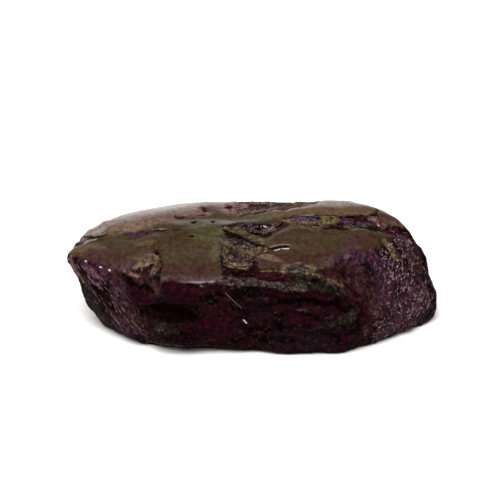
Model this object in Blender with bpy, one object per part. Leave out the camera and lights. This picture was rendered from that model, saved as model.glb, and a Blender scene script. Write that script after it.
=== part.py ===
"""Trapiche ruby: one natural stone, broken along its sides and polished on top.

Frame: X along the stone with the pointed nose at -X, Y across it with the tall broken front
at -Y, Z up. The origin is the middle of the box round the stone, on the surface it rests on.
Sizes below are millimetres and degrees.
"""

import math

import bmesh
import bpy
import numpy as np
from mathutils import Vector, noise

MM = 0.001
NODE_NAME = "ruby_stone"

# ---- The block: every break and polished plane cuts a piece off it
ROUGH_BLOCK = (48.0, 26.0, 16.0)
MIDDLE_HEIGHT = 5.0  # height of the block's middle above its underside
EDGE_ROUNDING = 0.7
EDGE_ROUNDING_STEPS = 3
BLUNTEST_EDGE = 15.0  # planes that turn by less than this stay as they meet
SURFACE_STEP = 0.72  # spacing of the finished surface's points
RESTING_CUT = 0.3  # the lowest lumps are worn off flat, this far up

# The way each plane faces in plan (0 is +X, 90 is +Y), how far it faces up (90) or down
# (-90), and its distance from the block's middle.
FACETS = {
    "top": (0, 90, 5.7),
    "top_front_slope": (-90, 77, 5.6),
    "top_back_slope": (90, 81.5, 6.55),
    "top_back_left_slope": (127, 77, 7.4),
    "top_left_slope": (178, 78, 7.85),
    "top_right_slope": (4, 77, 8.6),
    "nose_top": (204, 74, 7.95),
    "front": (-90, -1, 9.0),
    "front_foot": (-94, -43, 9.05),
    "left_front": (-125, 2, 12.6),
    "left_foot": (-126, -31, 12.6),
    "nose_bevel": (-125, 35, 11.6),
    "nose_under": (160, -31, 14.45),
    "left_back": (142, 7, 15.9),
    "left_back_corner": (111, 12, 11.45),
    "back": (94, 8, 8.9),
    "back_foot": (90, -35, 8.7),
    "back_right_corner": (64, 6, 11.6),
    "right_back": (26, 22, 16.9),
    "right_back_foot": (15, 6, 18.75),
    "right_end": (-50, 17, 12.6),
    "right_shoulder": (-48, 38, 10.25),
    "right_foot": (-50, -30, 13.8),
    "right_toe": (-15, -27, 19.8),
    "underside": (0, -90, 5.0),
}

# ---- Relief on the polished top, in X and Y: crystal-filled grooves part its lobes.
# Each groove: the points it runs through, half its width, its depth.
TOP_GROOVES = {
    "left_crack": (((-17.6, 1.0), (-14.7, 1.0), (-12.1, 0.1), (-8.6, -0.8)), 0.8, 0.40),
    "main_groove": (
        ((-4.0, -1.0), (1.0, -0.4), (3.6, 1.2), (6.3, 1.9), (10.4, 1.3), (16.2, 1.8)),
        1.2,
        0.90,
    ),
    "branch_groove": (((-2.8, -1.8), (0.1, -2.9), (1.0, -3.8), (3.8, -3.9)), 0.8, 0.45),
    "back_groove": (((-9.0, 2.2), (-5.0, 2.8), (-1.6, 2.2)), 0.9, 0.30),
    "back_hollow": (((-1.6, 6.2), (2.5, 6.6), (6.8, 7.4)), 1.4, 0.35),
}
# Each pit or chip: its middle, its half lengths along X and Y, its depth.
TOP_PITS = {
    "purple_pit": ((-12.0, -0.1), (1.5, 0.8), 0.45),
    "rough_pit": ((-1.2, -5.4), (2.3, 2.2), 0.75),
    "red_pit": ((-7.6, 2.3), (1.6, 0.8), 0.35),
    "chip": ((-10.8, -5.6), (2.2, 2.0), 0.50),
    "far_pit": ((-2.7, 5.3), (1.0, 0.9), 0.30),
    "right_chip": ((12.4, -2.7), (2.6, 1.6), 0.45),
}
# Each polished lobe swells between the grooves: middle, half lengths, height.
TOP_LOBES = {
    "main_lobe": ((-8.0, -2.6), (7.5, 3.6), 0.30),
    "back_left_lobe": ((-9.0, 4.0), (7.5, 4.0), 0.40),
    "back_ridge": ((10.5, 5.6), (8.0, 3.6), 0.50),
    "right_lobe": ((6.8, -3.0), (7.0, 3.0), 0.35),
}

# ---- Relief on the broken front, in X and Z
FRONT_GROOVES = {
    "band_line": (((-2.6, 7.9), (0.5, 7.5), (4.5, 6.9)), 0.8, 0.30),
    "front_crack": (((2.4, 6.2), (5.9, 6.3), (10.5, 5.4)), 0.9, 0.55),
    "low_crack": (((-13.0, 5.2), (-9.0, 5.3), (-5.0, 5.6)), 0.9, 0.50),
}
FRONT_LUMPS = {
    "front_hollow": ((-7.4, 4.9), (3.6, 1.4), -0.80),
    "dark_pit": ((-10.6, 7.4), (1.5, 1.1), -0.55),
    "upper_bulge": ((-6.0, 7.1), (3.6, 1.4), 0.45),
    "band": ((1.2, 8.5), (4.6, 1.0), 0.30),
    "lumpy_corner": ((7.2, 7.6), (2.6, 1.4), 0.35),
    "magenta_bulge": ((5.4, 4.2), (3.4, 1.7), 0.60),
    "green_lump": ((-8.6, 2.7), (2.6, 1.5), 0.35),
    "foot_hollow": ((1.2, 1.9), (4.0, 1.2), -0.30),
}
# ---- Relief on the broken back, in X and Z
BACK_GROOVES = {
    "back_ledge": (((-12.0, 6.4), (-5.0, 5.2), (2.0, 5.6)), 1.3, 0.60),
    "back_crack": (((3.0, 8.0), (5.0, 5.0), (9.5, 2.6)), 1.1, 0.55),
}
BACK_LUMPS = {
    "back_bulge": ((-5.5, 3.2), (4.5, 1.8), 0.45),
    "back_scoop": ((8.5, 6.4), (3.2, 2.0), -0.55),
}

# ---- Which relief a surface takes, from how squarely it faces that way: the relief starts at
# the first figure and is whole at the second.
TOP_FACING = (0.55, 0.85)
SIDE_FACING = (0.45, 0.75)
LEFT_FACING = (0.60, 0.90)
UNDERSIDE_FACING = (0.75, 0.95)
LEFT_PULL = 0.015  # a surface counts as facing left by this much more for each mm towards the nose
POLISH_GONE = (0.1, 0.4)  # groove depths between which the polish gives way to rough crystal

# ---- Growth lines down the left end: the way they run, their spacing and height
GROWTH_LINE_NORMAL = (0.45, -0.25, 0.86)
GROWTH_LINE_SPACING = 2.3
GROWTH_LINE_HEIGHT = 0.16

# ---- Flat-faced chunks on every broken side: their size and how far they stand out
CHUNKS = ((3.6, 1.35), (2.1, 0.75))
LEAN_CHANGE = 9.7  # the larger, the less one chunk's lean tells of its neighbour's
LEAN_SEED = 7  # which of the many sets of leans the stone has; without it each run differs
EVENING_PASSES = 2
WAVES = (6.0, 0.22)  # slow unevenness of the whole stone: its length and its height

COLOUR = (0.045, 0.018, 0.022, 1.0)
ROUGHNESS = 0.38


def clear_scene():
    for o in list(bpy.data.objects):
        bpy.data.objects.remove(o)


def facing(heading, tilt):
    """The unit vector that faces this heading and tilt."""
    h, t = math.radians(heading), math.radians(tilt)
    return Vector((math.cos(t) * math.cos(h), math.cos(t) * math.sin(h), math.sin(t)))


def cut_off(bm, point, outward):
    """Cuts away what lies beyond a plane and closes the cut with one flat face."""
    cut = bmesh.ops.bisect_plane(
        bm,
        geom=bm.verts[:] + bm.edges[:] + bm.faces[:],
        plane_co=point,
        plane_no=outward,
        clear_outer=True,
    )
    rim = [g for g in cut["geom_cut"] if isinstance(g, bmesh.types.BMEdge)]
    if rim:
        bmesh.ops.edgeloop_fill(bm, edges=rim)


def broken_block():
    """The block cut by every facet, standing on its underside, as a mesh."""
    bm = bmesh.new()
    bmesh.ops.create_cube(bm, size=1.0)
    bmesh.ops.scale(bm, vec=ROUGH_BLOCK, verts=bm.verts)
    for heading, tilt, reach in FACETS.values():
        outward = facing(heading, tilt)
        cut_off(bm, outward * reach, outward)
    bmesh.ops.translate(bm, vec=(0, 0, MIDDLE_HEIGHT), verts=bm.verts)
    bmesh.ops.recalc_face_normals(bm, faces=bm.faces)
    mesh = bpy.data.meshes.new("block")
    bm.to_mesh(mesh)
    bm.free()
    return mesh


def worn_surface(block):
    """The block with its edges worn round, as an even net of points."""
    blank = bpy.data.objects.new("blank", block)
    bpy.context.scene.collection.objects.link(blank)
    wear = blank.modifiers.new("wear", "BEVEL")
    wear.width = EDGE_ROUNDING
    wear.segments = EDGE_ROUNDING_STEPS
    wear.limit_method = "ANGLE"
    wear.angle_limit = math.radians(BLUNTEST_EDGE)
    net = blank.modifiers.new("net", "REMESH")
    net.mode = "VOXEL"
    net.voxel_size = SURFACE_STEP
    graph = bpy.context.evaluated_depsgraph_get()
    mesh = bpy.data.meshes.new_from_object(blank.evaluated_get(graph))
    bpy.data.objects.remove(blank)
    return mesh


def smooth_step(value, low, high):
    """0 below low, 1 above high, and smooth between."""
    t = np.clip((value - low) / (high - low), 0.0, 1.0)
    return t * t * (3.0 - 2.0 * t)


def bump(t):
    """1 at t = 0, falling smoothly to 0 at t = 1."""
    return np.clip(1.0 - t * t, 0.0, 1.0) ** 2


def distance_to_path(plan, path):
    """Each point's distance, in this plan, to the line through the path's points."""
    nearest = np.full(len(plan), np.inf)
    for start, end in zip(path, path[1:]):
        start, run = np.array(start), np.array(end) - np.array(start)
        share = np.clip((plan - start) @ run / (run @ run), 0.0, 1.0)
        off = plan - start - share[:, None] * run
        nearest = np.minimum(nearest, np.linalg.norm(off, axis=1))
    return nearest


def grooves(plan, named):
    """How far these grooves sink each point."""
    depth = np.zeros(len(plan))
    for path, half_width, deepest in named.values():
        depth = np.maximum(depth, deepest * bump(distance_to_path(plan, path) / half_width))
    return depth


def lumps(plan, named):
    """How far these lumps raise each point, or with a negative height sink it."""
    height = np.zeros(len(plan))
    for middle, half_lengths, rise in named.values():
        out = np.linalg.norm((plan - np.array(middle)) / np.array(half_lengths), axis=1)
        height += rise * bump(out)
    return height


def chunk_heights(points, size):
    """Heights of flat-faced chunks of this size, each with its own lean."""
    noise.seed_set(LEAN_SEED)
    heights = np.empty(len(points))
    for i, p in enumerate(points):
        place = Vector(p) / size
        seed = noise.voronoi(place)[1][0]
        lean = noise.noise_vector(seed * LEAN_CHANGE)
        heights[i] = lean.dot(place - seed)
    return heights


def wave_heights(points, length):
    return np.array([noise.noise(Vector(p) / length) for p in points])


def evened(height, edges):
    """Each height shared with its neighbours' along the mesh's edges, so that none is a spike."""
    total = np.zeros(len(height))
    count = np.zeros(len(height))
    for here, there in ((edges[:, 0], edges[:, 1]), (edges[:, 1], edges[:, 0])):
        np.add.at(total, here, height[there])
        np.add.at(count, here, 1.0)
    return (height + total / count) / 2.0


def relief(points, normals):
    """How far each point moves out along its normal."""
    from_above = points[:, [0, 1]]
    from_front = points[:, [0, 2]]
    top = smooth_step(normals[:, 2], *TOP_FACING)
    front = smooth_step(-normals[:, 1], *SIDE_FACING) * (1.0 - top)
    back = smooth_step(normals[:, 1], *SIDE_FACING) * (1.0 - top)
    leftness = -normals[:, 0] - LEFT_PULL * points[:, 0]
    left = smooth_step(leftness, *LEFT_FACING) * (1.0 - top)

    pits = {name: (at, half, -deep) for name, (at, half, deep) in TOP_PITS.items()}
    cut = grooves(from_above, TOP_GROOVES)
    height = top * (lumps(from_above, TOP_LOBES) + lumps(from_above, pits) - cut)
    height += front * (lumps(from_front, FRONT_LUMPS) - grooves(from_front, FRONT_GROOVES))
    height += back * (lumps(from_front, BACK_LUMPS) - grooves(from_front, BACK_GROOVES))

    growth = points @ np.array(GROWTH_LINE_NORMAL) * 2.0 * math.pi / GROWTH_LINE_SPACING
    height += left * GROWTH_LINE_HEIGHT * np.sin(growth)

    polished = top * (1.0 - smooth_step(cut, *POLISH_GONE))
    for size, stand_out in CHUNKS:
        height += (1.0 - polished) * stand_out * chunk_heights(points, size)
    length, rise = WAVES
    height += rise * wave_heights(points, length)
    return height * (1.0 - smooth_step(-normals[:, 2], *UNDERSIDE_FACING))


def carved(mesh):
    """Moves the mesh's points by the relief."""
    count = len(mesh.vertices)
    points = np.empty(count * 3, np.float32)
    normals = np.empty(count * 3, np.float32)
    mesh.vertices.foreach_get("co", points)
    mesh.vertex_normals.foreach_get("vector", normals)
    points = points.reshape(-1, 3).astype(float)
    normals = normals.reshape(-1, 3).astype(float)
    edges = np.empty(len(mesh.edges) * 2, np.int32)
    mesh.edges.foreach_get("vertices", edges)
    height = relief(points, normals)
    for _ in range(EVENING_PASSES):
        height = evened(height, edges.reshape(-1, 2))
    points += normals * height[:, None]
    mesh.vertices.foreach_set("co", points.astype(np.float32).ravel())
    mesh.update()


def seated(mesh):
    """Cuts the resting face flat, puts the origin in place and turns the mesh to metres."""
    bm = bmesh.new()
    bm.from_mesh(mesh)
    cut_off(bm, (0, 0, RESTING_CUT), (0, 0, -1))
    xs = [v.co.x for v in bm.verts]
    ys = [v.co.y for v in bm.verts]
    middle = Vector(((min(xs) + max(xs)) / 2, (min(ys) + max(ys)) / 2, RESTING_CUT))
    bmesh.ops.translate(bm, vec=-middle, verts=bm.verts)
    bmesh.ops.scale(bm, vec=(MM, MM, MM), verts=bm.verts)
    bmesh.ops.recalc_face_normals(bm, faces=bm.faces)
    bm.to_mesh(mesh)
    bm.free()


def stone_material():
    material = bpy.data.materials.new("trapiche ruby")
    material.use_nodes = True
    shader = material.node_tree.nodes["Principled BSDF"]
    shader.inputs["Base Color"].default_value = COLOUR
    shader.inputs["Roughness"].default_value = ROUGHNESS
    shader.inputs["Metallic"].default_value = 0.0
    return material


clear_scene()
surface = worn_surface(broken_block())
carved(surface)
seated(surface)
stone = bpy.data.objects.new(NODE_NAME, surface)
surface.name = NODE_NAME
surface.materials.append(stone_material())
bpy.context.scene.collection.objects.link(stone)
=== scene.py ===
# %% [markdown]
# # A trapiche ruby
# This lesson dresses one natural stone. A trapiche ruby grew like a wheel: hard ruby sectors,
# parted by arms of other minerals that meet near its middle. Somebody ground and polished the top,
# so the hard sectors stand there as smooth lobes, and the softer arms between them stay rough.
# The sides are broken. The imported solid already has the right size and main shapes, so everything
# here adds to it: a finer surface, and a finish that knows polished skin from broken crystal.

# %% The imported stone
import math

import bmesh
import bpy
import numpy as np
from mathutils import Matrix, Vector, noise
from mathutils.bvhtree import BVHTree


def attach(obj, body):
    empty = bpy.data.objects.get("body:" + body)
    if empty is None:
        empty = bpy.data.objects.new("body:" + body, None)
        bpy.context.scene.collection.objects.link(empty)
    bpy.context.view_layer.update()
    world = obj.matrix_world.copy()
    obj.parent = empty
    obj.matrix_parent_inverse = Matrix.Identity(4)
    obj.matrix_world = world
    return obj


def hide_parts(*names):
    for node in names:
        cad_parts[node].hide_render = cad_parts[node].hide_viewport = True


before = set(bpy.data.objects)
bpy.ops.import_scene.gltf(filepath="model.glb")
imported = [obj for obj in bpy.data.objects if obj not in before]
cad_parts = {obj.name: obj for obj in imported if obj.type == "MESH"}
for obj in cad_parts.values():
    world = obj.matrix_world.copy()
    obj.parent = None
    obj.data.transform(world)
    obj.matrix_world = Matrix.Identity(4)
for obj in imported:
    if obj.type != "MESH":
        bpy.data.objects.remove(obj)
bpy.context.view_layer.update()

MM = 0.001
NOISE_SEED = 1
noise.seed_set(NOISE_SEED)

# %% [markdown]
# ## Camera
# A small stone is looked at from about a hand's length with a long lens, so that its near end
# doesn't look swollen. The camera looks down at it a little more steeply than halfway between level
# and forty-five degrees. It is aimed at a point of the stone and not by typed angles, because a
# track quaternion turns "look from here to there" into a rotation. The camera also serves as a
# pointer later on: a sight line through a pixel of its frame finds the place on the stone that
# shows there, and the other way round every point of the stone has its place in the frame.

# %% Camera
CAMERA_LENS = 100.0
CAMERA_DISTANCE = 150.8 * MM
CAMERA_HEIGHT = math.radians(28.0)
CAMERA_AIM = Vector((-0.4, 3.3, 6.2)) * MM
CAMERA_NEAREST = 10.0 * MM  # nothing closer than this is drawn
FRAME_SIDE = 500.0  # the frame is this many pixels wide and high
FRAME_MIDDLE = FRAME_SIDE / 2


def new_object(name, data):
    """An object with this mesh, lamp or camera in it, linked into the scene."""
    made = bpy.data.objects.new(name, data)
    bpy.context.scene.collection.objects.link(made)
    return made


def turn_towards(aim, place):
    """The turn that points a camera or a lamp at the aim from this place."""
    return (aim - place).to_track_quat("-Z", "Y").to_euler()


camera = new_object("camera", bpy.data.cameras.new("camera"))
camera.data.lens = CAMERA_LENS
camera.data.clip_start = CAMERA_NEAREST
camera.location = (
    0.0,
    -CAMERA_DISTANCE * math.cos(CAMERA_HEIGHT),
    CAMERA_DISTANCE * math.sin(CAMERA_HEIGHT),
)
camera.rotation_euler = turn_towards(CAMERA_AIM, camera.location)
bpy.context.scene.camera = camera
turn = camera.rotation_euler.to_matrix()
PIXEL = camera.data.sensor_width / camera.data.lens / FRAME_SIDE  # a pixel's width, one unit away


def sight_line(u, v):
    """The direction in which the camera sees this pixel, counted from the frame's top left."""
    direction = Vector(((u - FRAME_MIDDLE) * PIXEL, (FRAME_MIDDLE - v) * PIXEL, -1.0))
    return (turn @ direction).normalized()


def in_frame(places):
    """The pixels at which the camera sees these places, given in mm."""
    seen = (places * MM - np.array(camera.location)) @ np.array(turn)
    scale = -1.0 / seen[:, 2] / PIXEL
    return np.stack([FRAME_MIDDLE + seen[:, 0] * scale, FRAME_MIDDLE - seen[:, 1] * scale], axis=1)


print("camera at", [round(x / MM) for x in camera.location], "mm")
print("the stone's origin shows at pixel", in_frame(np.zeros((1, 3))).round(1)[0])

# %% [markdown]
# ## Floor and light
# A dark glossy stone shows what it reflects, so the light matters as much as the finish. The
# surroundings are bright round the horizon, dim above that, and bright again overhead, as in a
# room with pale walls far off. Skin that leans away from the viewer then picks up a pale sheen,
# and level skin stays deep. One colour ramp over the height of the view direction makes both. A
# wide soft lamp above the table lights the rest, and the rounded front edges catch it.

# %% Floor and light
FLOOR_SIDE = 6.0
FLOOR_FINISH = {
    "Base Color": (0.86, 0.86, 0.86, 1.0), "Roughness": 0.9, "Specular IOR Level": 0.1
}
LAMP_SIDE, LAMP_WATTS = 2.4, 152.0
LAMP_COLOUR = (1.0, 0.98, 0.96)
LAMP_PLACE, LAMP_AIM = Vector((-0.48, -1.08, 2.80)), Vector((0.0, 0.0, 0.005))
# Height of the direction, from 0 level to 1 straight up, and the light that comes from there.
SURROUNDINGS = (
    (0.00, (1.20, 1.16, 1.14)),
    (0.20, (1.15, 1.10, 1.08)),
    (0.45, (0.20, 0.18, 0.17)),
    (0.88, (0.10, 0.09, 0.09)),
    (0.97, (0.90, 0.87, 0.86)),
    (1.00, (1.20, 1.16, 1.14)),
)


def new_mesh(name, bm):
    """A mesh with what this bmesh holds, which is freed."""
    mesh = bpy.data.meshes.new(name)
    bm.to_mesh(mesh)
    bm.free()
    return mesh


def add_floor():
    bm = bmesh.new()
    bmesh.ops.create_grid(bm, x_segments=1, y_segments=1, size=FLOOR_SIDE / 2)
    floor = new_object("floor", new_mesh("floor", bm))
    card = bpy.data.materials.new("pale card")
    card.use_nodes = True
    for label, value in FLOOR_FINISH.items():
        card.node_tree.nodes["Principled BSDF"].inputs[label].default_value = value
    floor.data.materials.append(card)


def add_surroundings():
    world = bpy.data.worlds.new("pale room")
    bpy.context.scene.world = world
    world.use_nodes = True
    nodes, links = world.node_tree.nodes, world.node_tree.links
    direction = nodes.new("ShaderNodeTexCoord")
    parts = nodes.new("ShaderNodeSeparateXYZ")
    ramp = nodes.new("ShaderNodeValToRGB")
    links.new(direction.outputs["Generated"], parts.inputs["Vector"])
    links.new(parts.outputs["Z"], ramp.inputs["Fac"])
    links.new(ramp.outputs["Color"], nodes["Background"].inputs["Color"])
    stops = ramp.color_ramp.elements
    while len(stops) < len(SURROUNDINGS):
        stops.new(0.5)
    for stop, (height, colour) in zip(stops, SURROUNDINGS):
        stop.position = height
        stop.color = (*colour, 1.0)
    ramp.color_ramp.interpolation = "EASE"


def add_lamp():
    lamp = bpy.data.lights.new("overhead", "AREA")
    lamp.size = LAMP_SIDE
    lamp.energy = LAMP_WATTS
    lamp.color = LAMP_COLOUR
    holder = new_object("overhead", lamp)
    holder.location = LAMP_PLACE
    holder.rotation_euler = turn_towards(LAMP_AIM, LAMP_PLACE)


add_floor()
add_surroundings()
add_lamp()
bpy.context.scene.view_settings.view_transform = "Standard"
print("floor", FLOOR_SIDE, "m a side;", len(SURROUNDINGS), "stops of surroundings")

# %% [markdown]
# ## A finer surface
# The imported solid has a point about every 0.7 mm, enough for its main shapes. Grains and cracks
# need more. A voxel remesh covers the solid with an even net, whatever triangles it had, and a few
# rounds of smoothing take the old facets out of it. An even net also makes what follows simple:
# each point only moves a little along its own normal.

# %% A finer surface
PIECE_NAME = "trapiche_ruby"
SAME_POINT = 0.001 * MM  # points closer than this are joined
NET_STEP = 0.16 * MM
SMOOTHING_ROUNDS = 12


def fine_net(node):
    """A piece with an even fine net over this node's solid."""
    bm = bmesh.new()
    bm.from_mesh(node.data)
    bmesh.ops.remove_doubles(bm, verts=bm.verts, dist=SAME_POINT)
    piece = new_object(PIECE_NAME, new_mesh(PIECE_NAME, bm))
    net = piece.modifiers.new("net", "REMESH")
    net.mode = "VOXEL"
    net.voxel_size = NET_STEP
    graph = bpy.context.evaluated_depsgraph_get()
    fine = bpy.data.meshes.new_from_object(piece.evaluated_get(graph))
    piece.modifiers.clear()
    piece.data = fine
    return piece


stone = fine_net(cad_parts["ruby_stone"])
COUNT = len(stone.data.vertices)
edges = np.empty(len(stone.data.edges) * 2, np.int32)
stone.data.edges.foreach_get("vertices", edges)
edges = edges.reshape(-1, 2)
edge_ends = np.concatenate([edges, edges[:, ::-1]])
neighbours = np.bincount(edge_ends[:, 0], minlength=COUNT)


def read(collection, what):
    """Three numbers for each point of the net, from this collection in its mesh."""
    found = np.empty(COUNT * 3, np.float32)
    collection.foreach_get(what, found)
    return found.reshape(-1, 3).astype(float)


def write_points(places):
    stone.data.vertices.foreach_set("co", (places * MM).astype(np.float32).ravel())
    stone.data.update()


def spread(values, rounds, share=0.5):
    """Each value mixed with its neighbours' mean this many times. It takes rows of numbers too."""
    values = values.reshape(COUNT, -1)
    for _ in range(rounds):
        sums = [
            np.bincount(edge_ends[:, 0], column[edge_ends[:, 1]], COUNT) for column in values.T
        ]
        means = np.stack(sums, axis=1) / neighbours[:, None]
        values = values + share * (means - values)
    return values.squeeze()


write_points(spread(read(stone.data.vertices, "co") / MM, SMOOTHING_ROUNDS))
points = read(stone.data.vertices, "co") / MM
normals = read(stone.data.vertex_normals, "vector")
print(COUNT, "points in the net,", len(stone.data.polygons), "faces")

# %% [markdown]
# ## Where things are
# Every lobe, pit, crack and patch of mineral has its place on the stone. On a broken stone no
# ruler helps, so places are given as a jeweller would point at them through the camera: by the
# pixel of its frame in which they show. A lobe of polished skin is an outline in the frame.
# Everything else is a run of beads on a string: each bead is a pixel across and down, and the
# half width there. One bead is a round patch, a few thick ones a long patch, and many thin ones
# a crack. A sight line carries every bead to the surface, where it becomes a ball in millimetres,
# so the patch is real from every side.

# %% Pointing at the stone
MOST_FORESHORTENED = 0.42  # a bead on a slant is wider than it looks, at most by 1 over this
PULL_STEP = 1.0  # a bead that misses the stone is pulled towards its middle by pixels of this size
STONE_MIDDLE = (254.0, 278.0)


def net_tree():
    """The net as it is now, made ready for finding what a sight line hits."""
    return BVHTree.FromObject(stone, bpy.context.evaluated_depsgraph_get())


def seen_at(u, v, tree):
    """The place on the stone, in metres, that shows at this pixel, and the way it faces there."""
    at = None
    while at is None:
        at, facing, _, _ = tree.ray_cast(camera.location, sight_line(u, v))
        pull = Vector(STONE_MIDDLE) - Vector((u, v))
        u, v = Vector((u, v)) + pull.normalized() * PULL_STEP
    return at, facing


def on_stone(pixels):
    """Beads given as (across, down, half width) in pixels, as (x, y, z, radius) in mm."""
    upwards = turn @ Vector((0.0, 1.0, 0.0))
    found = []
    for u, v, half_width in pixels:
        at, facing = seen_at(u, v, smooth_tree)
        slant = max(math.sqrt(max(1.0 - facing.dot(upwards) ** 2, 0.0)), MOST_FORESHORTENED)
        wide = half_width * PIXEL * (at - camera.location).length
        found.append(np.array((*at, wide / slant)) / MM)
    return found


smooth_tree = net_tree()
middle = seen_at(*STONE_MIDDLE, smooth_tree)[0] / MM
print("the middle pixel of the stone shows the place", [round(x, 1) for x in middle], "mm")

# %% [markdown]
# ## Patches and outlines
# A patch is kept as a share for every point of the net: 1 well inside it, 0 well outside, and a
# smooth change between, as soft as the real patch's edge. Balls on a string do for crystals, pits
# and cracks, and an outline in the frame for a lobe. Distances are measured from points that noise
# has shifted a little, so that no edge comes out ruled or round.

# %% Patches and outlines
BROAD_WOBBLE = ((1.3, 0.26), (0.5, 0.12))  # length of the swells and how far they shift, mm
SMALL_WOBBLE = ((0.5, 0.08),)
SMALL_RADIUS = 0.3  # the small wobble is for strings whose beads are all smaller than this
LEAST_RADIUS = 0.11  # a thinner bead would slip between the net's points
TINY = 1e-9  # keeps a division by nothing away


def smooth_step(value, low, high):
    """0 below low, 1 above high, and smooth between."""
    t = np.clip((value - low) / (high - low), 0.0, 1.0)
    return t * t * (3.0 - 2.0 * t)


def noise_at(where, length, shift=0.0):
    """Smooth noise about 0, with swells of this length in mm."""
    return np.array([noise.noise(Vector(p) / length + Vector((shift,) * 3)) for p in where])


def wobbled(where, swells):
    """The points, each shifted by smooth noise, for edges that wander."""
    for length, amount in swells:
        shift = np.array([noise.noise_vector(Vector(p) / length) for p in where])
        where = where + amount * shift
    return where


def patch(pixels, soft=0.5):
    """1 well inside a string of beads, 0.5 at their surface, 0 well outside.

    The change takes this share of the radius on either side of their surface."""
    beads = on_stone(pixels)
    where = tight if max(bead[3] for bead in beads) < SMALL_RADIUS else loose
    share = np.zeros(COUNT)
    for start, end in zip(beads, beads[1:] or beads):
        reach = (1.0 + soft) * max(start[3], end[3], LEAST_RADIUS)
        low = np.minimum(start, end)[:3] - reach
        high = np.maximum(start, end)[:3] + reach
        close = np.flatnonzero(((where > low) & (where < high)).all(axis=1))
        run = (end - start)[:3]
        off = where[close] - start[:3]
        along = np.clip(off @ run / max(run @ run, TINY), 0.0, 1.0)
        away = np.linalg.norm(off - along[:, None] * run, axis=1)
        radius = np.maximum(start[3] + along * (end[3] - start[3]), LEAST_RADIUS)
        inside = smooth_step(1.0 + soft - away / radius, 0.0, 2.0 * soft)
        share[close] = np.maximum(share[close], inside)
    return share


def inside_outline(runs):
    """1 inside an outline in the camera's frame, 0 outside. Its runs say how soft its edge is."""
    corners = [corner for _, run in runs for corner in run]
    softness = [soft for soft, run in runs for _ in run]
    nearest = np.full(COUNT, np.inf)
    edge = np.ones(COUNT)
    inside = np.zeros(COUNT, bool)
    for (u0, v0), (u1, v1), soft in zip(corners, corners[1:] + corners[:1], softness):
        run = np.array((u1 - u0, v1 - v0))
        off = loose_in_frame - np.array((u0, v0))
        share = np.clip(off @ run / (run @ run), 0.0, 1.0)
        away = np.linalg.norm(off - share[:, None] * run, axis=1)
        edge = np.where(away < nearest, soft, edge)
        nearest = np.minimum(nearest, away)
        spans = (v0 > loose_in_frame[:, 1]) != (v1 > loose_in_frame[:, 1])
        crossing = u0 + (loose_in_frame[:, 1] - v0) * (u1 - u0) / ((v1 - v0) or TINY)
        inside ^= spans & (loose_in_frame[:, 0] < crossing)
    signed = np.where(inside, nearest, -nearest)
    return smooth_step(signed / edge, -0.5, 0.5)


def most(fields):
    """The largest of these shares at each point."""
    return np.maximum.reduce(fields)


loose = wobbled(points, BROAD_WOBBLE)
tight = wobbled(points, SMALL_WOBBLE)
loose_in_frame = in_frame(loose)
print("edges wander by up to", round(np.abs(loose - points).max(), 2), "mm")
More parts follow.
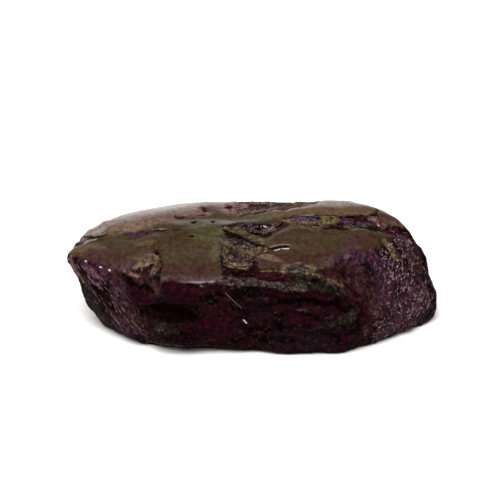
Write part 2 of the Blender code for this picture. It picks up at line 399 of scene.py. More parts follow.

# %% [markdown]
# ## Tints
# Ruby isn't alone in such a stone. Three tables say what each patch is made of, and give the beads
# of every patch that can be seen. The first one has the tints, which fade out without an edge. In
# the polished skin one tint is a painted sheen: pale colour where the lobes' back slopes and the
# ridge's crest would reflect the bright surroundings. "Tan" and "sand" are weathered, "rose" lets
# some ruby through, one pale tint is a painted highlight along the lobes' rounded front edges, and
# "moss" is greenish. "Umber" warms the broken faces.

# %% Tints
MARKS = {
    # Painted sheen: pale colour that stands in for the reflection on the back slopes and the ridge's
    # crest.
    "painted sheen": {
        "back of the left lobe": [
            (84, 233, 4), (100, 225, 7), (116, 219, 8), (134, 214, 8), (154, 210.5, 7.5),
            (176, 207.5, 6.5), (200, 206, 6), (226, 204, 5),
        ],
        "left lobe's upper edge": [(79, 245, 1), (86, 241.5, 1.2), (95, 239.5, 1)],
        "ridge": [
            (262, 213, 1), (285, 209.5, 1.5), (305, 206.5, 2), (322, 204, 3), (340, 204, 3.6),
            (358, 204.5, 3.4), (368, 206, 2.5),
        ],
    },
    "tan": {
        "left lobe": [
            (112, 230, 5), (130, 226, 6), (150, 222, 5.5), (168, 219, 3.5), (186, 215, 2.5),
        ],
        "back of the lobe": [(198, 214, 3), (210, 212.5, 3)],
        "right lobe's corner": [(264, 256, 3), (270, 259, 3), (278, 261, 2.5)],
    },
    "sand": {
        "ridge": [
            (274, 215, 4), (300, 213, 4.5), (330, 212, 4.5), (355, 212, 4.5), (371, 212, 4.5),
        ],
        "shoulder": [(383, 214, 5), (392, 218, 6), (400, 222, 5)],
        "left lobe": [(73, 252, 2.5), (80, 249, 3.5), (89, 248, 4), (100, 250, 3.5)],
        "left lobe's foot": [(138, 243, 2), (152, 242.5, 2)],
    },
    # A pale tint painted along the lobes' rounded front edges: a painted highlight where they catch
    # the lamp.
    "painted edge highlight": {
        "front lobe's edge": [(164, 279, 3), (180, 279, 3), (198, 279, 3), (218, 278.5, 3)],
        "right lobe's front": [(330, 262, 5), (343, 255, 4), (358, 247.5, 3)],
        "left lobe's edge": [(112, 266, 3), (124, 267, 3), (134, 264, 3)],
    },
    "umber": {
        "left flank": [(110, 274, 8), (118, 288, 10), (126, 304, 10), (134, 320, 8)],
        "around the dark pit": [(140, 276, 6), (150, 282, 8), (158, 290, 6)],
        "lumps": [(296, 272, 6), (312, 276, 9), (330, 280, 9), (346, 286, 9), (360, 292, 9)],
        "right middle": [(352, 268, 8), (362, 280, 9), (370, 296, 8), (376, 314, 8), (368, 330, 6)],
        "right low": [(384, 330, 9), (404, 322, 8), (422, 314, 6)],
        "rough pit": [(230, 243, 6), (234, 254, 7), (248, 250, 7), (244, 266, 5)],
        "upper right": [(398, 235, 4), (405, 243, 6), (412, 254, 7), (418, 268, 6)],
        "groove": [(240, 227, 5), (258, 228, 5), (274, 226, 5), (292, 220, 5), (312, 219, 5)],
        "groove's end": [(330, 220, 5), (350, 221, 5), (370, 222, 5), (388, 229, 5)],
    },
    "rose": {
        "below the groove's crystals": [(303, 227.5, 0.9), (310, 228, 1), (316, 228.5, 1)],
        "chip": [(143, 275, 3), (151, 274, 4), (158, 268, 4), (158, 260, 2.5)],
        "left lobe's front": [(88, 252, 4), (98, 254, 5), (110, 256, 6), (122, 258, 5)],
        "left lobe's front, right part": [
            (168, 270, 4), (182, 270, 4.5), (196, 270, 4.5), (210, 270, 4),
        ],
        "right lobe's front": [(285, 257, 4), (300, 258, 3.5), (316, 258, 3.5), (332, 254, 4)],
        "right lobe's right end": [(345, 243, 4), (356, 240, 4.5), (368, 239, 4.5), (378, 238, 3)],
        "right lobe's corner": [(262, 262, 3), (270, 263, 3.5), (280, 264, 3)],
        "shoulder": [(385, 216, 3.5), (393, 218, 3.5), (399, 221, 2.5)],
        "back of the left lobe": [(205, 208, 3), (215, 209, 3.5), (228, 210, 3.5)],
    },
    "moss": {
        "middle, behind": [(190, 222, 3.5), (200, 225, 5), (212, 228, 6), (220, 231, 5)],
        "middle": [(200, 236, 4), (212, 238, 6), (222, 241, 5)],
        "middle, in front": [(218, 250, 5), (216, 258, 4)],
        "ridge's left end": [(243, 219, 3), (256, 218.5, 3), (268, 217.5, 2.5)],
        "strip": [(236, 231, 2.5), (246, 233.5, 3), (256, 237.5, 4), (266, 240, 4)],
        "back lobe's foot": [(112, 233, 1.5), (120, 231.5, 1.5)],
    },
}
print("patches of tint:", sum(len(patches) for patches in MARKS.values()))

# %% [markdown]
# ## Pale and grey crystals
# The arms between the sectors are filled with matrix: olive, blush and beige grains, dark indigo
# and green ones, and grey bands. They are given apart from the ruby, whose own colours are laid
# after them and lie over their edges.

# %% Pale and grey crystals
MARKS |= {
    "olive": {
        "groove left": [(238, 227, 2.5), (244, 229, 2.5), (250, 230, 2)],
        "groove's left end": [
            (224, 226.5, 1.3), (230, 229, 1.5), (236, 231, 1.5), (242, 233.5, 1.3),
        ],
        "groove's joint": [(277, 224, 2), (282, 221.5, 2)],
        "chip": [(137, 264, 1.5), (144, 260, 2.2), (151, 254, 1.8)],
        "chip's right bank": [(157, 258, 2), (157, 266, 2.5), (153, 273, 2.5)],
        "rough pit's left": [(225, 248, 1.8), (226, 256, 1.8), (226, 264, 1.5)],
        "groove right": [(296, 226, 2.5), (304, 226.5, 3), (312, 227, 3), (322, 226, 2.5)],
        "strip": [(244, 234, 2), (252, 237, 2.5), (260, 240, 2.5)],
        "branch flank": [
            (226, 240, 4), (234, 243, 5), (243, 246, 5), (250, 249, 3.5), (256, 252, 2),
        ],
        "rough pit's rim": [(229, 266, 1.2), (237, 267.5, 1.2), (246, 268, 1)],
        "rough pit's corner": [(252, 249, 2.5), (256, 252, 2.5), (258, 258, 1.5)],
        "behind the ridge": [
            (274, 204.5, 2), (284, 203.5, 2.8), (294, 203.5, 2.8), (304, 202.5, 2.5),
            (313, 202, 1.5),
        ],
        "below the right lobe": [
            (292, 266, 1.5), (302, 268, 2.5), (312, 268.5, 2.5), (322, 267, 1.5),
        ],
        "lumps": [(306, 275, 2.5), (318, 277, 2.5), (330, 281, 3), (342, 285, 2.5)],
        "right pit": [(346, 226, 1.5), (356, 226.5, 1.5), (366, 226.5, 1.5)],
    },
    "blush": {
        "behind the back lobe": [(236, 208, 5), (246, 206.5, 5), (256, 206, 4.5), (267, 204.5, 4)],
        "right pit": [(342, 221, 1.2), (348, 220, 1.4), (355, 219.5, 1.2), (361, 219, 1)],
        "violet's left": [(346, 256, 2.2), (353, 259, 2.2), (359, 264, 2)],
        "shoulder crystals": [(370, 218, 2), (376, 220, 3), (380, 224, 2)],
        "upper right": [(402, 241, 2.5), (408, 249, 3), (413, 257, 3)],
        "chip": [(146, 256, 1.2), (152, 254, 1.5), (156, 256, 1.2)],
        "left tip": [(71, 258.5, 2.5), (73, 264, 3), (77, 270, 3), (80, 275, 2)],
        "before the dark pit": [(124, 271, 1.4), (132, 274, 1.8), (139, 276, 1.8)],
    },
    "indigo": {
        "groove left": [
            (243, 225, 2), (250, 226, 3), (258, 227, 3.5), (266, 226, 3), (273, 224.5, 2),
        ],
        "groove right": [
            (290, 219, 1.5), (297, 218, 2.5), (304, 218, 3), (311, 218, 3), (319, 217.5, 2.5),
        ],
        "left crack filling": [(88, 239, 1), (93, 238, 1)],
    },
    "green": {
        "faint pit": [(175, 230, 1), (180, 230, 1)],
        "right pit": [(355, 223, 1), (362, 223.5, 1.5)],
        "rough pit": [(232, 257, 2), (240, 258, 3), (248, 258, 2.5)],
        "lumps": [
            (292, 276, 3), (300, 280, 7), (310, 284, 8), (320, 284, 8), (330, 288, 7),
            (338, 290, 5),
        ],
        "left lower": [(86, 289, 3), (90, 298, 5), (96, 308, 5), (102, 317, 4)],
        "bottom": [(153, 332, 3), (160, 329, 4.5), (168, 330, 4.5), (176, 332, 3)],
        "lower right": [
            (318, 328, 2), (330, 326, 3), (340, 322, 3.5), (350, 319, 5), (357, 309, 4),
        ],
    },
    "beige": {
        "behind the ridge": [
            (240, 209, 7), (256, 207, 7), (270, 206, 7), (284, 205, 6), (298, 204, 5),
            (310, 203, 4),
        ],
        "groove left": [(240, 226, 2.5), (250, 229, 3), (262, 230, 3), (272, 228, 2.5)],
        "groove right": [(286, 221, 2), (296, 221, 3), (306, 221.5, 3.5), (316, 222, 3)],
        "chip": [(134, 267, 2), (142, 264, 3.5), (149, 260, 4), (154, 257, 3)],
        "shoulder pit": [(383, 226, 3), (392, 229, 3)],
        "below the right lobe": [(286, 268, 3), (298, 268, 4), (308, 270, 4)],
        "rough pit": [(230, 263, 1.5), (240, 264, 2), (250, 263, 1.5)],
        "lumps": [(300, 276, 2.5), (314, 281, 2.5), (328, 285, 2.5), (340, 290, 2)],
        "right shoulder": [(384, 240, 2.5), (390, 248, 3.5), (397, 256, 4)],
        "right tip": [(422, 284, 2.5), (427, 294, 3), (428, 304, 3)],
    },
    "grey": {
        "hollow behind the ridge": [
            (240, 210, 1.5), (250, 208, 2), (262, 207, 2), (275, 205, 1.5), (290, 204.5, 1.2),
        ],
        "right pit": [(353, 224.5, 2), (361, 225, 2.5), (369, 224.5, 2.5)],
        "groove left": [(242, 227, 2), (252, 231, 2.5), (264, 232, 2)],
        "branch flank": [(224, 236, 2), (232, 241, 3.5), (240, 244, 4), (248, 246, 3)],
        "rough pit": [
            (225, 254, 2), (232, 257, 3.5), (241, 257, 4), (249, 258, 4), (256, 260, 2.5),
        ],
        "band": [
            (224, 280, 4.5), (232, 281, 5.5), (242, 281, 4.5), (252, 281, 4), (262, 283, 3.5),
            (272, 285, 3.5), (284, 286.5, 4.5), (296, 287, 4.5), (306, 288, 3),
        ],
        "above the lumps": [(290, 268, 2.5), (298, 266, 3), (305, 270, 3.5)],
        "dark pit crystals": [(143.5, 288, 1), (148, 287.5, 1)],
        # The foot's pale rim is a painted reflection of the floor along the bottom edge.
        "foot": [(148, 341.5, 0.8), (158, 343.5, 1), (170, 345, 1), (182, 346.5, 0.8)],
    },
}
print("kinds so far:", ", ".join(MARKS))

# %% [markdown]
# ## Ruby, crystals and cracks
# Broken ruby is lilac where it is granular, violet and magenta where the light goes deeper, and red
# in a few small hollows. Pink ridges and yellow crystals stand proud of it. The last kind is a few
# dark specks and painted shade: very dark colour laid in cracks and hollows where no light gets. A
# line of small beads costs little and gives each its width.

# %% Ruby, crystals and cracks
MARKS |= {
    "lilac": {
        "under the right lobe": [(354, 252.5, 2), (360, 251.5, 2.5), (364, 253.5, 1.5)],
        "left of the violet": [(337, 261, 1.5), (356, 266, 2.5), (364, 268, 2.5)],
        "left flank": [(106, 276, 2), (112, 284, 4), (116, 294, 4), (122, 286, 4), (126, 300, 3)],
        "lower left": [(108, 311, 3), (115, 318, 4), (124, 325, 4.5), (135, 330, 4), (146, 334, 3)],
        "grey spot": [(263.5, 299, 1), (267, 299.5, 1.5)],
        "bulge specks": [(298, 309.5, 0.8), (303.5, 310, 0.9)],
        "bulge, below": [(325.5, 317.5, 1), (332.5, 318, 1)],
        "lower right specks": [(354, 319.5, 1), (357, 317, 1)],
        "right face": [
            (384, 262, 6), (394, 272, 9), (406, 280, 11), (418, 292, 12), (424, 304, 9),
            (410, 304, 12), (396, 306, 12), (384, 296, 10), (384, 280, 10),
        ],
        "right face, below": [(392, 322, 8), (406, 316, 7), (418, 312, 5), (380, 334, 5)],
        "upper right": [(396, 238, 4), (402, 243, 5), (407, 251, 5), (412, 258, 5)],
    },
    "violet": {
        "small purple pit": [(127, 233, 2), (134, 234, 2.5), (141.5, 233.5, 2.5), (147, 233, 1.5)],
        "right pit": [(341, 219.5, 3), (348, 218.5, 2.5), (358, 220, 3)],
        "shoulder pit": [(384, 231, 1.5), (388, 231, 2)],
        "under the right lobe": [
            (347, 262, 3), (355, 258, 4), (364, 255, 5), (374, 256, 6), (378, 263, 7),
        ],
        "left facet": [
            (81, 260, 2.5), (88, 263, 4.5), (96, 266, 5), (104, 269, 4), (111, 271, 2.5),
        ],
        "left flank, left spot": [(114, 302, 2.5)],
        "left flank, right spot": [(124, 302, 2.5)],
        "right face, below": [(398, 310, 4)],
        "right face, left part": [(386, 300, 4), (390, 296, 3)],
        "right face, right part": [(410, 294, 4), (416, 290, 3)],
    },
    "ruby": {
        "back of the left lobe": [
            (175, 216.5, 1), (179, 218, 2), (184, 217.5, 1.5), (189, 216, 0.9),
        ],
        "beside it": [(199, 215.5, 0.7), (205, 215, 0.8)],
        "shoulder pit": [(387, 230, 2.5), (393, 230, 3.5), (399, 231.5, 3)],
        "left facet": [(88, 263, 1.2), (93, 265, 1.5), (99, 268, 1.2)],
        "left flank": [(131, 300, 3.5), (137, 302, 4.5), (143, 297, 5), (148, 298, 4)],
        "front": [(165, 286, 4), (174, 286, 5.5), (180, 296, 8), (188, 300, 6), (192, 294, 6)],
        "front, below": [(206, 322, 6), (214, 326, 8), (224, 327, 8), (228, 318, 5)],
        "under the band": [(262, 291.5, 1.5), (270, 292.5, 2.5), (280, 293.5, 2), (286, 294, 1.5)],
        "bulge": [(286, 314, 2), (296, 317, 3), (306, 320, 3.5), (315, 322, 3)],
        "right face, below": [(366, 314, 2.5), (370, 320, 4), (374, 328, 4)],
        "right face": [(366, 310, 2)],
        "lumps": [(344, 283, 2), (351, 290, 3), (358, 297, 3.5)],
        "front, right part": [(300, 292, 2), (316, 295, 3), (330, 296, 2)],
    },
    "red": {
        "small purple pit's end": [(145, 233, 1), (147.5, 233, 1)],
        "red spot": [(162, 230, 1), (165.5, 230, 1)],
        "mark on the back lobe": [(203.5, 208.5, 1), (205.5, 211, 0.9)],
        "smudge on the back lobe": [(227, 207.5, 1), (231, 206.5, 1)],
        "hollow behind the ridge": [(250, 204.5, 1.3), (257, 205.5, 1.6), (264, 204.5, 1.3)],
        "right pit": [(350, 219, 1.2), (356, 218.5, 1.8), (361, 218.5, 1.4)],
        "shoulder pit": [(389, 230.5, 1), (396, 231, 1.5)],
        "patch below the right lobe": [
            (259, 274, 2), (267, 273.5, 2), (276, 274.5, 2), (284, 275.5, 2), (291, 278, 1.5),
        ],
        "lumps": [(319, 271.5, 1.5), (326, 272.5, 2), (331, 275, 1.5)],
        "dark band": [(160, 314, 2.5), (166, 313, 2)],
        "right middle": [(352, 296, 1), (356, 300, 1.5), (360, 299, 1)],
    },
    "pink": {
        "left tip": [(83, 266, 1.5), (90, 270.5, 2.5), (96, 275, 2.5), (101, 279, 1.5)],
        "beside it": [(88, 276, 1), (92.5, 281, 1.2), (98, 285, 1.2)],
    },
    "yellow": {
        "groove specks": [(285.5, 219.5, 1), (288.5, 220, 1), (294.5, 219, 1), (297, 220.5, 1)],
        "groove's crystals": [(321, 220, 3), (326, 219, 4), (332, 220, 4), (337, 220.5, 3)],
        "below them": [(305, 223.5, 0.9), (311, 224.5, 1), (318, 226.5, 1.5)],
        "single crystal": [(259, 248.5, 2.3), (264, 249.5, 2.3)],
        "red patch's rim": [(262, 270.5, 0.8), (272, 270.5, 0.7), (282, 271, 0.8), (293, 271, 1)],
        "right end, above": [(386, 241, 0.9), (389, 245, 0.9)],
        "right end, middle": [(391, 252, 1.4), (396, 256, 1.7), (402, 260, 1.4)],
        "right end, below": [(393, 257, 0.8), (399, 259, 0.9)],
        "left rim": [(81, 277, 2), (83.5, 281, 2.5)],
        "chip, left": [(141.5, 269.5, 1)],
        "chip, middle": [(148, 271, 1)],
        "chip, right": [(153, 269.5, 1)],
    },
    # Dark specks, and painted shade in cracks and hollows where no light gets.
    "black and painted shade": {
        "left crack": [
            (84, 236.5, 0.7), (89.5, 236.5, 0.7), (95, 237, 0.7), (97.5, 236.5, 0.5),
            (103, 235.5, 0.5), (106.5, 234, 0.4),
        ],
        "line to the red spot": [
            (152.5, 230.5, 0.5), (159.5, 230, 0.6), (163, 230, 0.8), (167, 229.5, 0.6),
        ],
        "small pit, left": [(190.5, 236, 1), (192.5, 236, 1)],
        "dot in the green": [(193.5, 222.5, 1), (195, 221.5, 0.8)],
        "small pit, right": [(213, 222, 0.9)],
        "hollow's foot": [
            (240, 216, 0.6), (243, 215, 0.5), (256, 212, 0.5), (264, 211.5, 0.5), (271, 210.5, 0.5),
        ],
        "groove, upper line": [
            (245, 224.5, 0.8), (251, 226, 1), (257, 228, 1.5), (262, 226.5, 1.5), (269, 225, 1),
        ],
        "groove, lower line": [(252, 231, 1), (257, 232.5, 1.5), (262, 234, 1.5), (267, 234.5, 1)],
        "groove's joint": [(274, 225.5, 0.5), (279, 225, 0.5), (284, 221.5, 0.4)],
        "groove's dot": [(314.5, 224.5, 0.8), (318, 224.5, 0.9)],
        "right pit's rim": [(345, 217, 0.5), (350, 216.5, 0.5), (357, 216.5, 0.5)],
        "right pit's end": [(365, 218, 0.6), (366.5, 219.5, 0.6)],
        "shoulder pit's end": [(393, 226.5, 0.6), (398, 226.5, 0.6), (401.5, 230.5, 1)],
        "branch": [
            (226.5, 234, 0.5), (233, 236, 0.5), (238, 237.5, 0.6), (244, 239, 0.8),
            (248.5, 241.5, 0.8), (254, 244, 0.9), (258.5, 245, 1), (264, 245, 0.8),
        ],
        "glint slit": [(269, 248.5, 0.5), (274.5, 248, 0.7), (281, 246.5, 0.7), (287.5, 246, 0.5)],
        "rough pit": [(253, 261, 0.9), (257, 262.5, 1)],
        "lumps": [(312, 280, 2), (319, 280.5, 2)],
        "dark pit": [(139, 287, 2), (144, 285, 3), (150, 288, 3.5), (154, 291, 2)],
        "dark band": [
            (129, 311, 1.5), (138, 311, 3), (148, 309, 3.5), (158, 310, 5), (166, 308, 4.5),
            (174, 313, 5.5), (184, 314, 5), (193, 315, 2.5),
        ],
        "bottom, left spot": [(185, 331.5, 1)],
        "bottom, right spot": [(190.5, 334, 1.5)],
        "under the band": [(228, 287, 0.9), (240, 287, 1), (250, 287.5, 1), (259, 288.5, 1)],
        "crack": [
            (279, 304, 0.9), (287, 304, 1), (294, 302.5, 1.5), (302, 301.5, 2), (310, 303, 2),
            (319, 305, 2), (329, 305, 1), (335, 304, 1.5), (341, 305, 1),
        ],
        "lower right, above": [(340, 309, 1.5), (347, 310.5, 2), (352, 307, 1)],
        "lower right, below": [(322, 334, 1.5), (330, 335, 2), (340, 336, 1.5)],
        "lower right spot": [(352, 332, 2.5), (356, 330, 1.5)],
    },
}
print("patches in all:", sum(len(patches) for patches in MARKS.values()))

# %% [markdown]
# ## The share of each kind
# Every kind gets one share a point, the most that any of its patches gives. The camera can't see
# the back and the underside, so the main minerals are scattered there by noise. That keeps the
# stone believable when somebody turns it round.

# %% The share of each kind
# How softly each kind ends: tints fade out over their whole width, crystals stop at an edge.
SOFTNESS = dict.fromkeys(MARKS, 0.95)
SOFTNESS |= dict.fromkeys(("violet", "ruby", "olive", "blush"), 0.9)
SOFTNESS |= dict.fromkeys(("lilac", "green", "beige", "indigo"), 0.8)
SOFTNESS |= dict.fromkeys(("grey", "red", "yellow"), 0.5)
# The minerals that are scattered, with a shift that gives each its own places.
SCATTERED = {"green": 11.0, "grey": 23.0, "lilac": 31.0, "violet": 47.0, "ruby": 59.0}
SCATTER_SWELLS = ((2.8, 1.0), (1.0, 0.5))  # length in mm and weight
SCATTER_FROM, SCATTER_FULL = 0.05, 0.75
UNSEEN_FROM, UNSEEN_FULL = -0.25, 0.05  # how far a surface leans away from the camera

shares = {}
for name, patches in MARKS.items():
    shares[name] = most([patch(pixels, SOFTNESS[name]) for pixels in patches.values()])
view = np.array(camera.location) / MM - points
view /= np.linalg.norm(view, axis=1)[:, None]
turned_away = smooth_step(-(normals * view).sum(axis=1), UNSEEN_FROM, UNSEEN_FULL)
for name, shift in SCATTERED.items():
    swirls = sum(weight * noise_at(points, length, shift) for length, weight in SCATTER_SWELLS)
    scattered = smooth_step(swirls, SCATTER_FROM, SCATTER_FULL)
    shares[name] = np.maximum(shares[name], turned_away * scattered)
for name, share in shares.items():
    print(f"{name}: {share.mean():.3f} of the surface")

# %% [markdown]
# ## Polished lobes and rough arms
# The polish comes next, because both the relief and the finish follow it. It covers the lobes
# where they face up, and stops in the grooves, the pits and the chips along the edge. Outlines
# give the lobes, because a lobe is too wide and its edge too winding for balls.

# %% Outlines of the lobes
# Each run of an outline: how soft the edge is there, and the corners, all in pixels.
BACK_LOBES = [
    (7.0, [(60, 256), (72, 256), (78, 258), (86, 259)]),
    (12.0, [(96, 263), (104, 268), (112, 272), (120, 273), (128, 271)]),
    (8.0, [(135, 267), (140, 263), (146, 258), (152, 253), (157, 250), (160, 252), (161, 258)]),
    (6.0, [(161.5, 266), (161, 274), (160.5, 279)]),
    (6.0, [(162, 283), (170, 283.5), (185, 283), (200, 283), (212, 283)]),
    (2.5, [(221, 281), (222, 276), (221.5, 268), (221, 258), (222, 250), (223.5, 245), (226, 239)]),
    (4.0, [(227, 235), (224, 231), (222, 228), (224, 225.5), (235, 224.5), (243, 223.5)]),
    (3.0, [(252, 223.5), (262, 224), (270, 223), (276, 223.5), (281, 220.5), (285, 217.5)]),
    (3.0, [
        (290, 217), (297, 216), (304, 215.5), (312, 215.3), (320, 215), (328, 214.5), (338, 215),
    ]),
    (3.0, [(343, 215.5), (352, 215.5), (360, 215)]),
    (8.0, [(368, 214.5), (374, 211.5), (378, 209), (390, 196), (316, 190)]),
    (4.0, [(316, 202.5), (310, 204.5), (300, 206.5), (290, 208), (280, 209.5)]),
    (3.0, [(270, 211.5), (262, 212.5), (252, 213.5), (244, 214.5), (238, 216.5), (236, 214)]),
    (4.0, [(234, 211), (236, 207), (238, 203.5)]),
    (30.0, [(240, 190), (130, 190), (60, 236)]),
]
RIGHT_LOBE = [
    (4.0, [(232, 232), (240, 230.5), (248, 231.5), (256, 234.5), (262, 236.5), (268, 236)]),
    (3.0, [(275, 231), (281, 227.5), (288, 225), (296, 226), (302, 229), (310, 229.5), (320, 229)]),
    (4.0, [(330, 228.5), (338, 228), (348, 228.5), (356, 228.5), (366, 229), (375, 230)]),
    (6.0, [(382, 232.5), (390, 234.5), (396, 236)]),
    (20.0, [(390, 239), (384, 242), (381, 245), (378, 248), (370, 250), (362, 251), (352, 254)]),
    (18.0, [(344, 259), (340, 264), (338, 268)]),
    (12.0, [(330, 269), (322, 268), (310, 269), (300, 270), (292, 271), (280, 270.5), (270, 270)]),
    (3.0, [(262, 269.5), (259, 266), (258, 260), (258, 254), (262, 252.5), (268, 251.5)]),
    (3.0, [(266, 246), (260, 243.5), (252, 240), (246, 237), (238, 234.5)]),
]
SHOULDER = [
    (6.0, [(378, 215), (379, 205), (392, 205), (404, 214), (409, 224), (403, 228)]),
    (4.0, [(396, 226.5), (388, 225), (382, 223.5), (379, 219)]),
]
OUTLINES = (BACK_LOBES, RIGHT_LOBE, SHOULDER)
print("corners:", [sum(len(run) for _, run in runs) for runs in OUTLINES])

# %% [markdown]
# ## Skin and polish
# Skin is what the grinder made level, and polish is the part of it that was buffed. Both follow how
# level the surface is, so that slopes lose their gloss first, as on a stone that was held to a flat
# wheel. Minerals that crumble open the skin. Scuffs are pointed at like the other patches.

# %% Skin and polish
# How far each mineral opens the skin: 1 where it breaks it up altogether.
OPENINGS = {"red": 1.0, "yellow": 1.0, "grey": 0.9, "black and painted shade": 0.8, "indigo": 0.8}
OPENINGS |= {"beige": 0.6, "olive": 0.6, "blush": 0.6, "violet": 0.5, "ruby": 0.4}
# Skin that was ground but never buffed, or that is scuffed: no gloss there.
DULL = {
    "beside the chip": [(132, 264, 4), (142, 258, 4.5), (150, 252, 4.5), (157, 247, 4)],
    "ridge's left end": [(240, 217, 4), (254, 215, 4.5), (268, 214, 4.5), (282, 211, 4)],
    "between the grooves": [(236, 230, 4), (248, 233, 4.5), (258, 238, 4.5), (268, 243, 4)],
    "left lobe's back slope": [
        (84, 239, 5), (98, 240, 6), (114, 241, 7), (130, 241, 7), (146, 238, 6),
    ],
    "before the back lobe": [(150, 234, 4), (166, 231, 3.5), (180, 228, 3.5), (196, 223, 3)],
    "before the green": [(176, 236, 4), (190, 235, 5), (206, 235, 5), (220, 237, 4)],
    "groove's lower bank": [
        (268, 236, 5), (277, 231, 5.5), (288, 227, 5), (306, 230, 4), (340, 230, 4),
    ],
    "left crack": [(84, 236.5, 3), (95, 237, 3), (106.5, 234, 3)],
    "right lobe's front": [(282, 259, 5), (298, 259, 5), (314, 258, 5), (328, 255, 5)],
    "scratch": [(266, 250, 3), (276, 249, 3.5), (288, 247, 3)],
}
DULLING, DULL_SOFTNESS = 0.8, 0.95  # the share of polish lost there, and how softly it fades
LEVEL_ROUNDS = 10
LEVEL_WOBBLE = (1.2, 0.10)  # length of the swells in mm, and their share
# Ranges over which skin and polish set in as the surface gets more level, skin gives way to what
# opens it, and polish follows the skin.
SKIN_LEVEL, POLISH_LEVEL = (0.35, 0.65), (0.62, 0.85)
SKIN_OPENED, SKIN_POLISHED = (0.2, 0.8), (0.55, 1.0)

swell_length, swell_share = LEVEL_WOBBLE
level = spread(normals, LEVEL_ROUNDS)[:, 2] + swell_share * noise_at(points, swell_length)
lobes = most([inside_outline(runs) for runs in OUTLINES])
opened = most([weight * shares[name] for name, weight in OPENINGS.items()])
skin = smooth_step(level, *SKIN_LEVEL) * lobes * (1.0 - smooth_step(opened, *SKIN_OPENED))
polish = smooth_step(skin, *SKIN_POLISHED) * smooth_step(level, *POLISH_LEVEL)
polish *= 1.0 - DULLING * most([patch(pixels, DULL_SOFTNESS) for pixels in DULL.values()])
print("share of the surface: skin", round(skin.mean(), 2), "and polish", round(polish.mean(), 2))

# %% [markdown]
# ## Grains
# Broken crystal is a heap of small flat faces that lean every way. Voronoi cells give the grains:
# each point belongs to its nearest seed, and each seed has its own lean and its own height, so a
# grain is one tilted plane with a step round it. Three sizes on top of each other look like rock.

# %% Grains
# Size of the grains in mm, how steeply they lean, and the height of the steps between them in mm.
GRAINS = ((2.0, 0.10, 0.06), (0.95, 0.16, 0.05), (0.5, 0.22, 0.03))
GRAIN_SHARE = {"front": 0.25, "right": 0.60, "left": 0.30, "top": 0.50}  # how much of that, where
LEAN_DRAW, HEIGHT_DRAW = 91.7, 57.3  # a seed's place times these picks its lean and its height
FACING_UP = (0.55, 0.85)  # over this range a surface comes to count as the top
RIGHT_END = [(404, 244, 14), (396, 262, 24), (410, 290, 30), (414, 306, 24), (384, 328, 16)]
LEFT_END = [(84, 272, 12), (104, 296, 24), (128, 322, 20)]
END_SOFTNESS = 0.8


def grains(where, size, lean_share, step):
    """Heights of flat-faced grains of this size, each with its own lean and its own height."""
    heights = np.empty(len(where))
    for i, p in enumerate(where):
        place = Vector(p) / size
        seed = noise.voronoi(place)[1][0]
        lean = noise.cell_vector(seed * LEAN_DRAW) * 2.0 - Vector((1.0, 1.0, 1.0))
        own = noise.cell(seed * HEIGHT_DRAW)
        heights[i] = size * lean_share * lean.dot(place - seed) + step * (own - 0.5)
    return heights


right_end, left_end = patch(RIGHT_END, END_SOFTNESS), patch(LEFT_END, END_SOFTNESS)
rough = 1.0 - skin
facing_up = smooth_step(level, *FACING_UP)
coarseness = GRAIN_SHARE["front"]
for name, share in (("right", right_end), ("left", left_end), ("top", facing_up)):
    coarseness = coarseness + share * (GRAIN_SHARE[name] - coarseness)
print("grains stand", round(float((rough * coarseness).mean()), 2), "as high as they could")

# %% [markdown]
# ## Relief
# How far each point moves along its normal is a sum. Ground skin keeps only slow waves, and broken
# parts get the grains. The left end has long growth lines, because there the break followed the
# crystal. A few swellings and hollows bring single places to their true height, and the face that
# the stone rests on stays flat.

# %% Relief
# Swellings and hollows, of the broken front and at the ends of the lobes, and how far each one
# stands out in mm.
SWELLINGS = {
    "bulge": ([(290, 316, 13), (312, 319, 11)], 0.16),
    "left shoulder": ([(128, 300, 9), (142, 300, 7)], 0.20),
    "below the lobe": ([(168, 288, 7), (190, 294, 9)], 0.20),
    "middle": ([(206, 322, 10), (226, 322, 9)], 0.18),
    "ridge's right end": ([(352, 204, 6), (362, 206, 6)], 0.10),
    "back lobe's left end": ([(94, 231, 4), (100, 227, 5)], 0.28),
    "notch between the lobes": ([(80, 242, 3.5)], -0.30),
    "hollow": ([
        (130, 310, 4), (146, 311, 6), (162, 311, 7.5), (178, 314, 7), (192, 316, 3),
    ], -0.55),
    "crack": ([(280, 304, 3), (312, 303, 4), (342, 305, 3)], -0.50),
}
# How far each kind stands proud of its surroundings, or lies below them, in mm.
LIFT = {"black and painted shade": -0.10, "red": -0.03, "yellow": 0.04, "pink": 0.06}
SLOW_WAVES, ROUGH_WAVES = (2.6, 0.03), (1.6, 0.06)  # length and height in mm
ROUGH_SINK = 0.04  # rough ground on top lies this much lower, in mm
GROWTH_WAY = np.array((0.52, -0.30, 0.80))  # straight across the growth lines
GROWTH_SPACING, GROWTH_DEPTH = 0.62, 0.03  # in mm
GROWTH_WOBBLE = ((3.0, 0.5),)
UNDERSIDE_ROUNDS, UNDERSIDE = 4, (0.75, 0.95)  # the face that it rests on gets no relief

